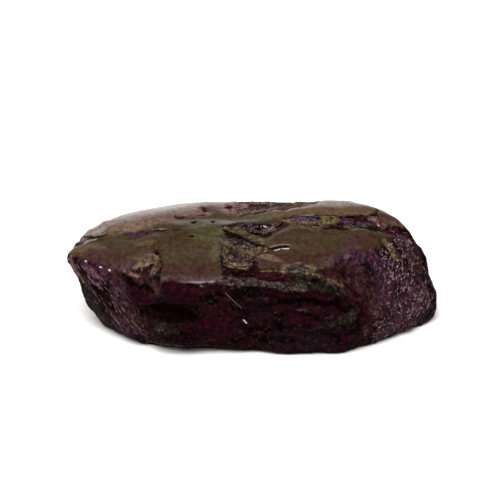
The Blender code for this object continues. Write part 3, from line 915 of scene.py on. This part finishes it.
(slow, slow_height), (quick, quick_height) = SLOW_WAVES, ROUGH_WAVES
height = slow_height * noise_at(points, slow) + quick_height * rough * noise_at(points, quick)
height -= ROUGH_SINK * facing_up * rough
for size, lean_share, step in GRAINS:
    height += rough * coarseness * grains(points, size, lean_share, step)
lines = wobbled(points, GROWTH_WOBBLE) @ GROWTH_WAY * 2.0 * math.pi / GROWTH_SPACING
height += left_end * rough * GROWTH_DEPTH * np.sin(lines)
for pixels, stand_out in SWELLINGS.values():
    height += stand_out * patch(pixels)
for name, lift in LIFT.items():
    height += lift * shares[name]
height *= 1.0 - smooth_step(-spread(normals, UNDERSIDE_ROUNDS)[:, 2], *UNDERSIDE)
carved = points + normals * height[:, None]
carved[:, 2] = np.maximum(carved[:, 2], 0.0)
write_points(carved)
print("relief from", round(height.min(), 2), "to", round(height.max(), 2), "mm")

# %% [markdown]
# ## Shares on the points
# Each share is stored on the net's points as an attribute, one number a point, which the material
# reads by name. That keeps the places in real sizes here, and the colours in the material, where
# they can be tried without touching a place. "Grit" says how much single grains show.

# %% Shares on the points
GRITTY = {"grey": 0.9, "olive": 0.9, "indigo": 0.9, "yellow": 0.8, "green": 0.7}
GRITTY |= {"lilac": 0.6, "beige": 0.6, "blush": 0.6, "red": 0.5}
FRONT_GRIT, RIGHT_GRIT, LEFT_GRIT, TOP_GRIT = 0.25, 0.7, 0.4, 0.6

grit = [FRONT_GRIT * np.ones(COUNT), RIGHT_GRIT * right_end, LEFT_GRIT * left_end]
grit += [TOP_GRIT * facing_up] + [weight * shares[name] for name, weight in GRITTY.items()]
stored = {"polish": polish, "skin": skin, "grit": most(grit)} | shares
stored |= {"right end": right_end, "left end": left_end}
for name, values in stored.items():
    attribute = stone.data.attributes.new(name, "FLOAT", "POINT")
    attribute.data.foreach_set("value", values.astype(np.float32))
print("attributes:", len(stored))

# %% [markdown]
# ## Helpers for nodes
# A material is a graph of nodes, and most of the work in it is arithmetic on shares and colours.
# Each helper makes one kind of node, links or sets its inputs, and returns the output that matters,
# so the lines further on read like ordinary sums.

# %% Helpers for nodes
COLOUR, NUMBER, VECTOR = "NodeSocketColor", "NodeSocketFloat", "NodeSocketVector"


def give(tree, socket, value):
    """Links a socket to another one, or sets it to a plain number or colour."""
    if isinstance(value, bpy.types.NodeSocket):
        tree.links.new(value, socket)
    elif isinstance(value, tuple) and socket.type == "RGBA":
        socket.default_value = (*value, 1.0)
    else:
        socket.default_value = value


def new_node(tree, kind, inputs, **settings):
    """A node of this kind. Its inputs are given by label or by place, after its settings."""
    node = tree.nodes.new("ShaderNode" + kind)
    for setting, value in settings.items():
        setattr(node, setting, value)
    for label, value in inputs.items():
        give(tree, node.inputs[label], value)
    return node


def math_node(tree, operation, *values, clamp=False):
    node = new_node(tree, "Math", dict(enumerate(values)), operation=operation, use_clamp=clamp)
    return node.outputs["Value"]


def product(tree, value, *factors):
    for factor in factors:
        value = math_node(tree, "MULTIPLY", value, factor)
    return value


def vector_node(tree, operation, *values):
    node = new_node(tree, "VectorMath", dict(enumerate(values)), operation=operation)
    return node.outputs["Value" if operation in ("DOT_PRODUCT", "LENGTH") else "Vector"]


def scaled(tree, vector, factor):
    inputs = {"Vector": vector, "Scale": factor}
    return new_node(tree, "VectorMath", inputs, operation="SCALE").outputs["Vector"]


def noise_node(tree, place, scale, detail=2.0, roughness=0.5, output="Fac"):
    inputs = {"Vector": place, "Scale": scale, "Detail": detail, "Roughness": roughness}
    return new_node(tree, "TexNoise", inputs).outputs[output]


def rise(tree, value, low, high, bottom=0.0, top=1.0):
    """A smooth rise from bottom at low to top at high."""
    inputs = {"Value": value, "From Min": low, "From Max": high, "To Min": bottom, "To Max": top}
    node = new_node(tree, "MapRange", inputs, interpolation_type="SMOOTHSTEP")
    return node.outputs["Result"]


def mixed(tree, share, under, over, blend="MIX"):
    """Colour over laid on colour under by this share."""
    node = new_node(tree, "Mix", {}, data_type="RGBA", blend_type=blend)
    sockets = {socket.identifier: socket for socket in (*node.inputs, *node.outputs)}
    for label, value in (("Factor_Float", share), ("A_Color", under), ("B_Color", over)):
        give(tree, sockets[label], value)
    return sockets["Result_Color"]


def between(tree, share, low, high):
    """A number part of the way from low to high."""
    return new_node(tree, "Mix", {"Factor": share, "A": low, "B": high}).outputs["Result"]


def cells_node(tree, place, per_mm):
    """Voronoi cells, and the red and the green of each one's own chance colour."""
    cells = new_node(tree, "TexVoronoi", {"Vector": place, "Scale": per_mm}).outputs
    chances = new_node(tree, "SeparateColor", {"Color": cells["Color"]}).outputs
    return cells, chances["Red"], chances["Green"]


def new_group(name, inputs, outputs):
    """An empty node group with these named sockets. Each input is (name, kind) or has a default."""
    group = bpy.data.node_groups.new(name, "ShaderNodeTree")
    for label, kind, *default in inputs:
        socket = group.interface.new_socket(label, in_out="INPUT", socket_type=kind)
        if default:
            socket.default_value = default[0]
    for label, kind in outputs:
        group.interface.new_socket(label, in_out="OUTPUT", socket_type=kind)
    start, end = group.nodes.new("NodeGroupInput"), group.nodes.new("NodeGroupOutput")
    return group, start.outputs, end.inputs


def placed(tree, group, **values):
    """The outputs of a copy of a group in this tree. An input's name has _ for its spaces."""
    inputs = {label.replace("_", " "): value for label, value in values.items()}
    return new_node(tree, "Group", inputs, node_tree=group).outputs


print("node helpers ready, for sockets of the kinds", COLOUR, NUMBER, "and", VECTOR)

# %% [markdown]
# ## Mineral
# On the real stone a mineral's patch stops along a frayed line, and inside it the colour drifts
# between a deep and a bright form. This group lays one mineral over the colour so far: noise pushes
# its share up and down, so a soft edge comes out ragged. As a group, it serves all twenty kinds.

# %% Mineral
def mineral_group():
    group, given, out = new_group(
        "Mineral",
        [
            ("Under", COLOUR), ("Share", NUMBER, 0.0), ("Push", NUMBER, 0.5),
            ("Raggedness", NUMBER, 0.9), ("Softness", NUMBER, 0.25), ("Deep", COLOUR),
            ("Bright", COLOUR), ("Cloud", NUMBER, 0.5),
        ],
        [("Color", COLOUR)],
    )
    centred = math_node(group, "SUBTRACT", given["Push"], 0.5)
    pushed = math_node(group, "MULTIPLY_ADD", centred, given["Raggedness"], given["Share"])
    own = mixed(group, given["Cloud"], given["Deep"], given["Bright"])
    low = math_node(group, "SUBTRACT", 0.5, given["Softness"])
    high = math_node(group, "ADD", 0.5, given["Softness"])
    give(group, out["Color"], mixed(group, rise(group, pushed, low, high), given["Under"], own))
    return group


MINERAL = mineral_group()
print("sockets of the group:", [item.name for item in MINERAL.interface.items_tree])

# %% [markdown]
# ## Crystal grains
# Broken crystal sparkles with grains too fine for the net. Voronoi cells make them: each cell is
# a small plane with its own lean, which a bump turns into a facet. It also has two chance numbers,
# one for its shade and one that picks the few that get a painted glint.

# %% Crystal grains
def crystal_grains_group():
    group, given, out = new_group(
        "Crystal grains",
        [("Place", VECTOR), ("Grains per mm", NUMBER, 3.0)],
        [("Height", NUMBER), ("Shade", NUMBER), ("Chance", NUMBER)],
    )
    cells, shade, chance = cells_node(group, given["Place"], given["Grains per mm"])
    lean = vector_node(group, "SUBTRACT", cells["Color"], (0.5, 0.5, 0.5))
    off = vector_node(group, "SUBTRACT", given["Place"], cells["Position"])
    give(group, out["Height"], vector_node(group, "DOT_PRODUCT", lean, off))
    give(group, out["Shade"], shade)
    give(group, out["Chance"], chance)
    return group


CRYSTAL_GRAINS = crystal_grains_group()
print("sockets of the group:", [item.name for item in CRYSTAL_GRAINS.interface.items_tree])

# %% [markdown]
# ## Strokes
# Cleavage and growth leave many short, thin, nearly parallel lines. Round Voronoi cells that are
# drawn out along one way make them, and a slow noise bends them a little, so that they don't look
# ruled. Only some of the cells are kept, each with a strength of its own.

# %% Strokes
BEND_SCALE = 0.9  # swells of the bending noise, in 1/mm
LEAST_STRENGTH = 0.4


def strokes_group():
    group, given, out = new_group(
        "Strokes",
        [
            ("Place", VECTOR), ("Way", VECTOR), ("Shortening", NUMBER, 0.8),
            ("Strokes per mm", NUMBER, 4.0), ("Thickness", NUMBER, 0.3),
            ("Share of cells", NUMBER, 0.6), ("Bend", NUMBER, 1.4),
        ],
        [("Line", NUMBER)],
    )
    bend = noise_node(group, given["Place"], BEND_SCALE, output="Color")
    bend = scaled(group, vector_node(group, "SUBTRACT", bend, (0.5, 0.5, 0.5)), given["Bend"])
    bent = vector_node(group, "ADD", given["Place"], bend)
    along = vector_node(group, "DOT_PRODUCT", bent, given["Way"])
    squeeze = product(group, along, given["Shortening"])
    short = vector_node(group, "SUBTRACT", bent, scaled(group, given["Way"], squeeze))
    cells, chance, spare = cells_node(group, short, given["Strokes per mm"])
    middle = product(group, given["Thickness"], 0.5)
    line = rise(group, cells["Distance"], middle, given["Thickness"], 1.0, 0.0)
    kept = math_node(group, "LESS_THAN", chance, given["Share of cells"])
    strength = math_node(group, "MULTIPLY_ADD", spare, 1.0 - LEAST_STRENGTH, LEAST_STRENGTH)
    give(group, out["Line"], product(group, line, kept, strength))
    return group


STROKES = strokes_group()
print("nodes in the group:", len(STROKES.nodes))

# %% [markdown]
# ## Scratch
# A scratch, or the painted glint along one, is a straight line between two places, finer than the
# net could hold. The group measures how far each point of the surface is from that line. The
# surface's own direction is left out of the distance, so that the line follows the bumps that it
# crosses.

# %% Scratch
SCRATCH_EDGE = (0.5, 1.3)  # where it fades, as a share of its half width
SCRATCH_DEPTH = (0.4, 0.6)  # further from the surface than this, in mm, it isn't drawn


def scratch_group():
    group, given, out = new_group(
        "Scratch",
        [
            ("Place", VECTOR), ("Start", VECTOR), ("End", VECTOR), ("Facing", VECTOR),
            ("Half width", NUMBER, 0.06),
        ],
        [("Share", NUMBER)],
    )
    run = vector_node(group, "SUBTRACT", given["End"], given["Start"])
    off = vector_node(group, "SUBTRACT", given["Place"], given["Start"])
    off_along = vector_node(group, "DOT_PRODUCT", off, run)
    run_along = vector_node(group, "DOT_PRODUCT", run, run)
    along = math_node(group, "DIVIDE", off_along, run_along, clamp=True)
    away = vector_node(group, "SUBTRACT", off, scaled(group, run, along))
    out_of_surface = vector_node(group, "DOT_PRODUCT", away, given["Facing"])
    beside = vector_node(group, "SUBTRACT", away, scaled(group, given["Facing"], out_of_surface))
    apart = math_node(group, "DIVIDE", vector_node(group, "LENGTH", beside), given["Half width"])
    close = rise(group, math_node(group, "ABSOLUTE", out_of_surface), *SCRATCH_DEPTH, 1.0, 0.0)
    give(group, out["Share"], product(group, rise(group, apart, *SCRATCH_EDGE, 1.0, 0.0), close))
    return group


SCRATCH = scratch_group()
print("groups:", [g.name for g in bpy.data.node_groups])

# %% [markdown]
# ## The finish: matrix and skin
# One material covers the whole stone, because its kinds run into each other everywhere. It is built
# up step by step: each step takes the colour so far and lays something over it. Maroon ruby lies
# under everything, streaky along the stone and with plum clouds. Olive skin lies over it where the
# stone is polished, with its tints in it. Colours are linear, as shaders count them.

# %% Matrix and skin
MATRIX = ((0.0008, 0.0002, 0.0003), (0.0145, 0.0026, 0.0045))
PLUM = (0.0100, 0.0046, 0.0078)
SKIN = ((0.022, 0.012, 0.0045), (0.044, 0.027, 0.010))
STREAKS = (0.40, 0.90, 1.0)  # the matrix's noise, drawn out along the stone
SKIN_EDGE, SKIN_WANDER = (0.15, 0.85), 0.8  # where skin sets in, and how far noise moves that
# Each kind's deep and bright colour, how ragged its edge is and how soft, in laying order.
TINTS = {
    # Painted sheen: pale pinkish grey that stands in for the reflection on the lobes' back slopes.
    "painted sheen": ((0.150, 0.108, 0.098), (0.240, 0.190, 0.180), 0.5, 0.5),
    "tan": ((0.072, 0.043, 0.028), (0.155, 0.100, 0.072), 0.8, 0.5),
    "sand": ((0.058, 0.033, 0.0155), (0.102, 0.062, 0.031), 0.8, 0.5),
    "rose": ((0.024, 0.007, 0.005), (0.050, 0.021, 0.016), 1.2, 0.5),
    "moss": ((0.032, 0.028, 0.010), (0.070, 0.064, 0.030), 1.2, 0.5),
    # Pale lilac painted highlight along the lobes' rounded front edges.
    "painted edge highlight": ((0.030, 0.012, 0.016), (0.068, 0.038, 0.048), 1.0, 0.5),
}
# Noises of the finish: scale in 1/mm, detail and roughness.
NOISES = {
    "push": (2.4, 5.0, 0.7),
    "cloud": (1.9, 6.0, 0.72),
    "streaks": (1.3, 6.0, 0.68),
    "plum": (0.7, 4.0, 0.6),
    "speckle": (7.0, 3.0, 0.7),
    "skin waves": (2.2, 5.0, 0.6),
}
# What some of them rise over, and what they rise from and to where that isn't 0 and 1.
RISES = {
    "cloud": (0.36, 0.64),
    "streaks": (0.38, 0.64),
    "plum": (0.50, 0.70, 0.0, 0.8),
    "speckle": (0.25, 0.75, 0.86, 1.14),
}

material = bpy.data.materials.new("trapiche ruby")
material.use_nodes = True
tree = material.node_tree
shader = tree.nodes["Principled BSDF"]
place = scaled(tree, tree.nodes.new("ShaderNodeTexCoord").outputs["Object"], 1.0 / MM)


def attribute_node(name):
    return new_node(tree, "Attribute", {}, attribute_name=name).outputs["Fac"]


def named_noise(name, where):
    field = noise_node(tree, where, *NOISES[name])
    return rise(tree, field, *RISES[name]) if name in RISES else field


push = named_noise("push", place)
cloud = named_noise("cloud", place)


def laid_over(under, kinds):
    """The colour under these kinds, with each of them laid over it in turn."""
    for name, (deep, bright, ragged, soft) in kinds.items():
        under = placed(
            tree, MINERAL, Under=under, Share=attribute_node(name), Push=push, Raggedness=ragged,
            Softness=soft, Deep=deep, Bright=bright, Cloud=cloud,
        )["Color"]
    return under


edge = math_node(tree, "MULTIPLY_ADD", push, SKIN_WANDER, -SKIN_WANDER / 2)
skin_share = rise(tree, math_node(tree, "ADD", attribute_node("skin"), edge), *SKIN_EDGE)
broken = math_node(tree, "SUBTRACT", 1.0, skin_share, clamp=True)
skin_colour = laid_over(mixed(tree, cloud, *SKIN), TINTS)
drawn_out = vector_node(tree, "MULTIPLY", place, STREAKS)
matrix = mixed(tree, named_noise("streaks", drawn_out), *MATRIX)
matrix = mixed(tree, named_noise("plum", drawn_out), matrix, PLUM)
colour = mixed(tree, skin_share, matrix, skin_colour)
print("nodes for the matrix and the skin:", len(tree.nodes))

# %% [markdown]
# ## The finish: the other minerals
# The minerals lie over matrix and skin alike, because they fill cracks and pits in both. The order
# matters: wide stains come first, single crystals next, and the painted shade of cracks and hollows
# last, laid like a mineral.

# %% The other minerals
MINERALS = {
    "umber": ((0.0060, 0.0016, 0.0020), (0.043, 0.017, 0.017), 1.3, 0.5),
    "beige": ((0.036, 0.021, 0.014), (0.175, 0.118, 0.085), 1.3, 0.45),
    "olive": ((0.028, 0.019, 0.008), (0.118, 0.086, 0.045), 1.3, 0.40),
    "blush": ((0.046, 0.020, 0.023), (0.200, 0.110, 0.114), 1.3, 0.45),
    "indigo": ((0.006, 0.003, 0.006), (0.056, 0.036, 0.052), 1.2, 0.45),
    "green": ((0.0012, 0.0009, 0.0006), (0.021, 0.017, 0.0115), 1.3, 0.45),
    "grey": ((0.012, 0.007, 0.006), (0.070, 0.050, 0.043), 1.2, 0.35),
    "lilac": ((0.010, 0.0035, 0.0065), (0.048, 0.021, 0.032), 1.2, 0.45),
    "violet": ((0.010, 0.0022, 0.007), (0.060, 0.022, 0.041), 1.2, 0.45),
    "ruby": ((0.005, 0.0005, 0.0015), (0.020, 0.0018, 0.0065), 1.2, 0.5),
    "red": ((0.014, 0.0014, 0.0024), (0.052, 0.0075, 0.0130), 1.1, 0.40),
    "pink": ((0.045, 0.013, 0.023), (0.135, 0.056, 0.084), 0.9, 0.5),
    "yellow": ((0.030, 0.020, 0.009), (0.130, 0.098, 0.048), 1.1, 0.30),
    # Very dark: dark specks, and painted shade in cracks and hollows.
    "black and painted shade": ((0.0010, 0.0002, 0.0002), (0.0060, 0.0014, 0.0014), 0.8, 0.35),
}
colour = laid_over(colour, MINERALS)
print("nodes with the minerals:", len(tree.nodes))

# %% [markdown]
# ## The finish: grains and flashes
# Every grain of the broken parts gets its own shade, and the calm parts only a faint speckle, or
# the stone would look painted. Two sizes of grain are multiplied, and a few of the finer ones get a
# painted glint: a pale colour, as facets show that happen to face the light. More of them glint in
# indigo and in olive.

# %% Grains and flashes
COARSE_PER_MM, FINE_PER_MM = 3.0, 6.5
SHADE_SPREAD, LEAST_SHADE = 1.2, 0.4  # a grain is from 0.4 to 1.6 times as bright as its mineral
# Painted glint: pale colour on single grains, standing in for light caught by their facets.
PAINTED_GRAIN_GLINT = (0.26, 0.21, 0.20)
FLASH_STRENGTH = 0.5
FLASH_FROM, FLASH_RISE = 0.975, 0.01  # grains with a chance above this flash
FLASH_MORE = {"indigo": 0.14, "olive": 0.05}
FLASH_GRIT = (0.4, 0.9)  # flashes set in over this range of grit

coarse = placed(tree, CRYSTAL_GRAINS, Place=place, Grains_per_mm=COARSE_PER_MM)
fine = placed(tree, CRYSTAL_GRAINS, Place=place, Grains_per_mm=FINE_PER_MM)
grit_share = product(tree, attribute_node("grit"), broken)
coarse_shade, fine_shade = (
    math_node(tree, "MULTIPLY_ADD", grain["Shade"], SHADE_SPREAD, LEAST_SHADE)
    for grain in (coarse, fine)
)
grain_shade = product(tree, coarse_shade, fine_shade)
shade = between(tree, grit_share, named_noise("speckle", place), grain_shade)
grey_shade = new_node(tree, "CombineColor", dict.fromkeys(("Red", "Green", "Blue"), shade))
colour = mixed(tree, 1.0, colour, grey_shade.outputs["Color"], "MULTIPLY")
flash_from = FLASH_FROM
for name, more in FLASH_MORE.items():
    flash_from = math_node(tree, "MULTIPLY_ADD", attribute_node(name), -more, flash_from)
painted_glints = rise(tree, fine["Chance"], flash_from, math_node(tree, "ADD", flash_from, FLASH_RISE))
painted_glints = product(tree, painted_glints, rise(tree, grit_share, *FLASH_GRIT), FLASH_STRENGTH)
print("nodes with the grains:", len(tree.nodes))

# %% [markdown]
# ## The finish: cleavage and growth lines
# The right end broke across the crystal, and its cleavage runs in two directions: painted shade
# fills the gaps, and a painted highlight lies along the edges, where light would catch them. The
# left end broke along it, and has fine growth lines. The painted shade darkens the colour, the
# painted highlights and the growth lines lighten it to a pale lilac or a straw tone, and the
# painted glints of the grains lie over both.

# %% Cleavage and growth lines
# Arrows along which the lines of each kind run.
RIGHT_WAY, SECOND_WAY, LEFT_WAY = (0.48, 0.64, 0.60), (-0.30, 0.75, 0.59), (0.60, -0.45, -0.66)
# Shift of the pattern, way, shortening, strokes per mm, thickness, share of cells and bend.
STROKE_KINDS = {
    # Dark gaps are painted shade, pale and crossing edges are painted highlights, growth lines are
    # the stone's own.
    "dark gaps": (7.0, RIGHT_WAY, 0.72, 2.6, 0.50, 0.55, 1.4),
    "pale edges": (0.0, RIGHT_WAY, 0.80, 3.4, 0.38, 0.68, 1.4),
    "crossing edges": (5.0, SECOND_WAY, 0.84, 3.8, 0.34, 0.50, 1.4),
    "growth lines": (3.0, LEFT_WAY, 0.90, 5.0, 0.44, 0.80, 0.5),
}
GAP_STRENGTH, GROWTH_STRENGTH = 0.75, 0.42
# Painted shade in the cleavage gaps.
PAINTED_GAP_SHADE = (0.006, 0.002, 0.004)
# Pale lilac and straw: the growth lines' own colour, and a painted highlight on the cleavage edges.
PALE, STRAW = (0.290, 0.205, 0.245), (0.240, 0.165, 0.145)


def strokes(kind):
    shift, way, shortening, per_mm, thickness, share, bend = STROKE_KINDS[kind]
    shifted = vector_node(tree, "ADD", place, (shift, shift, shift))
    return placed(
        tree, STROKES, Place=shifted, Way=way, Shortening=shortening, Strokes_per_mm=per_mm,
        Thickness=thickness, Share_of_cells=share, Bend=bend,
    )["Line"]


at_right = product(tree, attribute_node("right end"), broken)
at_left = product(tree, attribute_node("left end"), broken)
gaps = product(tree, strokes("dark gaps"), at_right, GAP_STRENGTH)
painted_edge_highlights = math_node(tree, "MAXIMUM", strokes("pale edges"), strokes("crossing edges"))
growth = product(tree, strokes("growth lines"), at_left, GROWTH_STRENGTH)
growth_lines_and_edge_highlights = math_node(tree, "ADD", product(tree, painted_edge_highlights, at_right), growth, clamp=True)
colour = mixed(tree, gaps, colour, PAINTED_GAP_SHADE)
colour = mixed(tree, growth_lines_and_edge_highlights, colour, mixed(tree, cloud, PALE, STRAW))
colour = mixed(tree, painted_glints, colour, PAINTED_GRAIN_GLINT)
print("nodes with the strokes:", len(tree.nodes))

# %% [markdown]
# ## The finish: slits and glints
# A slit, a hair line and a few glints are single things, each at its own place. The glints are
# painted highlights, pale colour where a facet or an edge would catch the light, and the slit's
# very dark colour is painted shadow. They are pointed at through the camera like the patches, but
# on the carved net, and drawn with the scratch group.

# %% Slits and glints
# Painted glint, cream for the hair line, the streak and one painted glint, and painted shadow for
# the slit.
PAINTED_GLINT, CREAM_LINE_AND_GLINT, SHADOW = (0.45, 0.41, 0.38), (0.09, 0.065, 0.040), (0.002, 0.001, 0.001)
# Single fine lines: colour, half width in pixels, and the pixels they run through.
SCRATCHES = {
    "slit": (SHADOW, 0.7, [(268, 248.5), (275, 248), (288, 246.5)]),
    "slit's left glint": (PAINTED_GLINT, 0.5, [(274.5, 250.5), (280, 249)]),
    "slit's right glint": (PAINTED_GLINT, 0.6, [(282, 248.5), (288.5, 248.5)]),
    "hair line": (CREAM_LINE_AND_GLINT, 0.5, [(225.5, 293), (233, 300.5), (241.5, 308)]),
    "big glint": (PAINTED_GLINT, 0.65, [(243.5, 320), (246.5, 323)]),
    "groove's glint": (PAINTED_GLINT, 0.9, [(264, 226), (266, 227)]),
    "facet's glint": (PAINTED_GLINT, 0.7, [(99.5, 267), (101.5, 267.3)]),
    "facet's left glint": (PAINTED_GLINT, 0.9, [(85.5, 261), (86, 261.3)]),
    "facet's right glint": (PAINTED_GLINT, 0.9, [(109, 269.8), (110, 270.5)]),
    "left streak": (CREAM_LINE_AND_GLINT, 0.5, [(93.5, 300), (97.5, 304)]),
    # A painted glint in cream.
    "magenta glint": (CREAM_LINE_AND_GLINT, 0.9, [(200.5, 285.5), (202, 286.5)]),
    "shoulder's glint": (PAINTED_GLINT, 0.7, [(378, 225), (379, 226)]),
}

carved_tree = net_tree()
for tint, half_width, pixels in SCRATCHES.values():
    for start, end in zip(pixels, pixels[1:]):
        (from_at, facing), (to_at, _) = seen_at(*start, carved_tree), seen_at(*end, carved_tree)
        share = placed(
            tree, SCRATCH, Place=place, Start=from_at / MM, End=to_at / MM, Facing=facing,
            Half_width=half_width * PIXEL * (from_at - camera.location).length / MM,
        )["Share"]
        colour = mixed(tree, share, colour, tint)
print("nodes with the slits and glints:", len(tree.nodes))

# %% [markdown]
# ## The finish: bumps and polish
# The polish is a coat: a second glossy layer whose weight follows the polished share, so that the
# rough arms beside a lobe stay dull. Under it there is hardly any gloss. The bumps are grains on
# broken crystal, faint waves on the lobes, and the pale lines that stand up a little.

# %% Bumps and polish
SKIN_WAVE_HEIGHT, LINE_HEIGHT = 0.010, 0.02
BUMP_STRENGTH = 1.0
# Roughness: how far chance or noise spreads it, and its least value.
BROKEN_ROUGHNESS, SKIN_ROUGHNESS = (0.35, 0.40), (0.15, 0.32)
COAT_WEIGHT = 0.85
GLOSS = {"Specular IOR Level": 0.01, "Coat Roughness": 0.24, "Coat IOR": 1.5}

grain_height = math_node(tree, "ADD", coarse["Height"], fine["Height"])
skin_height = product(tree, named_noise("skin waves", place), SKIN_WAVE_HEIGHT)
bump_height = math_node(tree, "MULTIPLY_ADD", grain_height, grit_share, skin_height)
bump_height = math_node(tree, "MULTIPLY_ADD", growth_lines_and_edge_highlights, LINE_HEIGHT, bump_height)
bump = new_node(
    tree, "Bump", {"Strength": BUMP_STRENGTH, "Distance": MM, "Height": bump_height}
)
rough_broken = math_node(tree, "MULTIPLY_ADD", coarse["Chance"], *BROKEN_ROUGHNESS)
rough_skin = math_node(tree, "MULTIPLY_ADD", push, *SKIN_ROUGHNESS)
finish = {
    "Base Color": colour,
    "Roughness": between(tree, skin_share, rough_broken, rough_skin),
    "Coat Weight": product(tree, attribute_node("polish"), COAT_WEIGHT),
    "Normal": bump.outputs["Normal"],
}
for label, value in (finish | GLOSS).items():
    give(tree, shader.inputs[label], value)
stone.data.materials.clear()
stone.data.materials.append(material)
stone.data.shade_smooth()
print("nodes in the finish:", len(tree.nodes))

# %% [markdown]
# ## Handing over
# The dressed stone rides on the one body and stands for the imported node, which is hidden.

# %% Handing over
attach(stone, "root")
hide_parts("ruby_stone")
